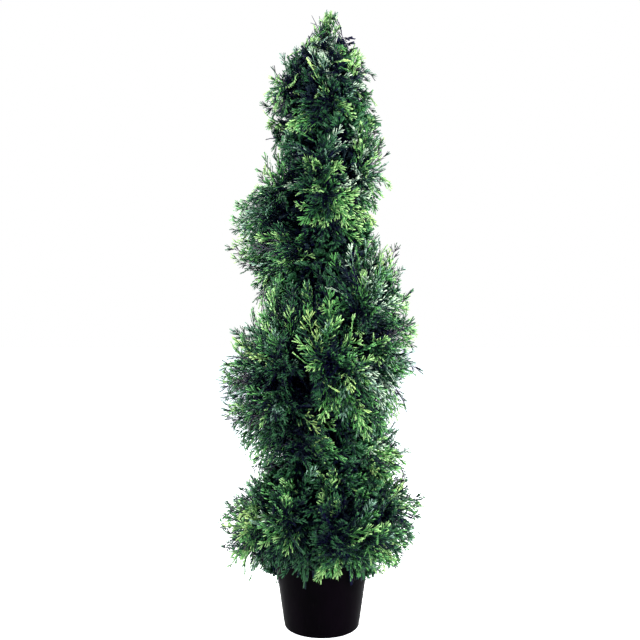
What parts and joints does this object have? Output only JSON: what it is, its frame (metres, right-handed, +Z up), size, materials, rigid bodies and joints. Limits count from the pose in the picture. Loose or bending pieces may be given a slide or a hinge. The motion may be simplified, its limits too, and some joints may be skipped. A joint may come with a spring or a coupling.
{
  "type": "artificial spiral topiary in a nursery pot",
  "caption": "Tall slim artificial cypress clipped as a spiral that climbs a pole to a pointed crown, in a round tapered black plastic pot.",
  "frame": {"origin": "the middle of the pot's flat underside, at floor level", "axes": "+Z up along the pole, -Y towards the viewer of the picture, +X to the viewer's right"},
  "size_m": [0.3875, 0.3894, 1.22],
  "materials": {
    "pot_plastic": "satin",
    "filling": "matte",
    "pole": "matte",
    "foliage": "matte"
  },
  "bodies": {
    "root": {"pot": "pot_plastic", "pot_filling": "filling", "trunk_pole": "pole", "foliage_01_right": "foliage", "foliage_02_left": "foliage", "foliage_03_right": "foliage", "foliage_04_left": "foliage", "foliage_05_right": "foliage", "foliage_06_left": "foliage", "foliage_07_right": "foliage", "foliage_08_left": "foliage", "foliage_09_right": "foliage", "foliage_10_crown": "foliage"}
  },
  "joints": []
}
